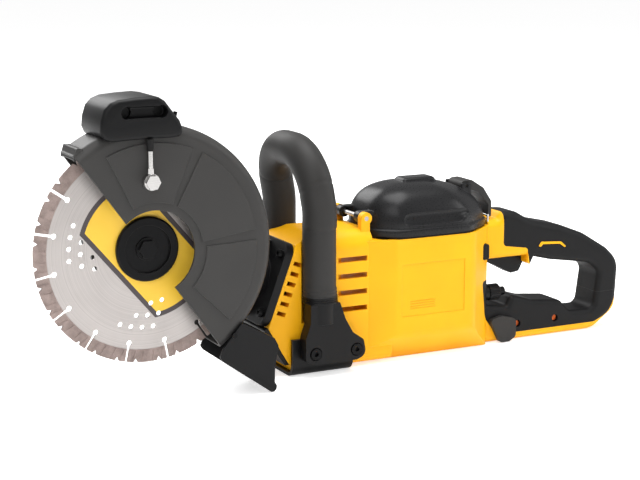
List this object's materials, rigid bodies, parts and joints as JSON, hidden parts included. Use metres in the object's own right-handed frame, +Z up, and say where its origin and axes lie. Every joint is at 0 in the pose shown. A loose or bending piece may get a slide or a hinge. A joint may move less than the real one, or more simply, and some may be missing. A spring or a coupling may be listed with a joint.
{
  "type": "cut-off saw",
  "caption": "Cordless handheld cut-off saw with a large diamond cutting disc under a turning half guard, arched front handle, lidded battery box and D-shaped rear handle.",
  "frame": {"origin": "centre of the flat underside of the front foot bracket, on the centre plane of the body", "axes": "+Z up, -X towards the cutting disc, +X towards the rear handle, +Y to the right of the person who holds the saw"},
  "size_m": [0.7224, 0.1675, 0.3109],
  "materials": {
    "yellow_shell": "moulded, satin",
    "black_plastic": "moulded, fine texture",
    "guard_grey": "satin powder coat",
    "grip_rubber": "soft overmould",
    "lid_grey": "satin",
    "blade_steel": "ground",
    "segment_metal": "sintered",
    "steel": "machined",
    "black_steel": "black finish",
    "case_metal": "black painted casting",
    "bright_metal": "plated",
    "copper": "plain",
    "laminations": "laminated",
    "battery_black": "moulded",
    "seal_rubber": "moulded"
  },
  "bodies": {
    "body": {"housing_left": "yellow_shell", "housing_right": "yellow_shell", "housing_screws": "black_steel", "hinge_pins": "steel", "power_switch": "black_plastic", "control_module": "black_plastic", "battery_bay": "black_plastic", "battery_terminals": "copper", "battery_pack": "battery_black", "lid_gasket": "seal_rubber", "latch_catch": "bright_metal", "rear_grip_cover": "grip_rubber", "rail_cover": "grip_rubber", "grip_strips": "yellow_shell", "rail_cover_screws": "copper", "rail_feet": "grip_rubber", "water_inlet": "black_plastic", "front_handle_tube": "black_plastic", "front_handle_grip": "grip_rubber", "front_handle_feet": "black_plastic", "foot_bolts": "black_steel", "handle_bracket": "black_steel", "belly_plate": "black_plastic", "gear_case": "case_metal", "gear_case_cap": "case_metal", "gearcase_screws": "black_steel", "case_screws": "black_steel", "guard_retainer": "steel", "bearings": "steel", "stator_core": "laminations", "stator_windings": "copper", "trigger_spring": "steel", "spindle_lock_spring": "steel"},
    "blade": {"blade_core": "blade_steel", "blade_segments": "segment_metal", "outer_flange": "black_steel", "inner_flange": "steel", "arbor_bolt": "black_steel", "spindle": "steel", "spindle_gear": "steel"},
    "rotor": {"rotor_shaft": "steel", "rotor_core": "laminations", "cooling_fan": "black_plastic", "motor_pinion": "steel"},
    "guard": {"guard_shell": "guard_grey", "guard_collar": "case_metal", "guard_rivets": "steel", "guard_handle": "black_plastic", "guard_screws": "black_steel", "guard_skirt": "black_plastic", "nozzle_bolts": "bright_metal", "water_pipes": "bright_metal", "pipe_nipples": "seal_rubber"},
    "lid": {"battery_lid": "lid_grey", "latch_pin": "steel"},
    "latch": {"lid_latch": "grip_rubber"},
    "trigger": {"trigger": "black_plastic"},
    "lock_button": {"spindle_lock_button": "black_plastic"},
    "lockoff": {"lockoff_button": "black_plastic"},
    "valve_knob": {"water_valve_knob": "black_plastic"}
  },
  "joints": [
    {"name": "blade_spin", "type": "hinge", "parent": "body", "child": "blade", "pos_m": [-0.2, -0.06, 0.157], "axis": [0, 1, 0], "continuous": true},
    {"name": "motor_spin", "type": "hinge", "parent": "body", "child": "rotor", "pos_m": [-0.2, 0, 0.157], "axis": [0.9354, 0, -0.3535], "continuous": true},
    {"name": "guard_turn", "type": "hinge", "parent": "body", "child": "guard", "pos_m": [-0.2, -0.06, 0.157], "axis": [0, 1, 0], "range_deg": [0, 60]},
    {"name": "lid_hinge", "type": "hinge", "parent": "body", "child": "lid", "pos_m": [0.06, 0, 0.161], "axis": [0, -1, 0], "range_deg": [0, 95]},
    {"name": "latch_turn", "type": "hinge", "parent": "lid", "child": "latch", "pos_m": [0.196, 0, 0.184], "axis": [0, -1, 0], "range_deg": [0, 55]},
    {"name": "trigger_pull", "type": "hinge", "parent": "body", "child": "trigger", "pos_m": [0.229, 0, 0.099], "axis": [0, -1, 0], "range_deg": [0, 8], "stiffness_Nm_per_rad": 1.2, "springref_deg": -6.88, "deforming": ["trigger_spring"]},
    {"name": "spindle_lock_press", "type": "slide", "parent": "body", "child": "lock_button", "axis": [0, 0, -1], "range_m": [0, 0.0035], "stiffness_N_per_m": 700, "springref_m": -0.003, "deforming": ["spindle_lock_spring"]},
    {"name": "lockoff_press", "type": "slide", "parent": "body", "child": "lockoff", "axis": [0, 1, 0], "range_m": [0, 0.003], "stiffness_N_per_m": 500, "springref_m": -0.003},
    {"name": "valve_turn", "type": "hinge", "parent": "body", "child": "valve_knob", "pos_m": [0.238, -0.008, 0.0565], "axis": [1, 0, 0], "range_deg": [0, 90]}
  ],
  "couplings": [
    {"joint": "motor_spin", "follows": "blade_spin", "ratio": -2.6364}
  ]
}
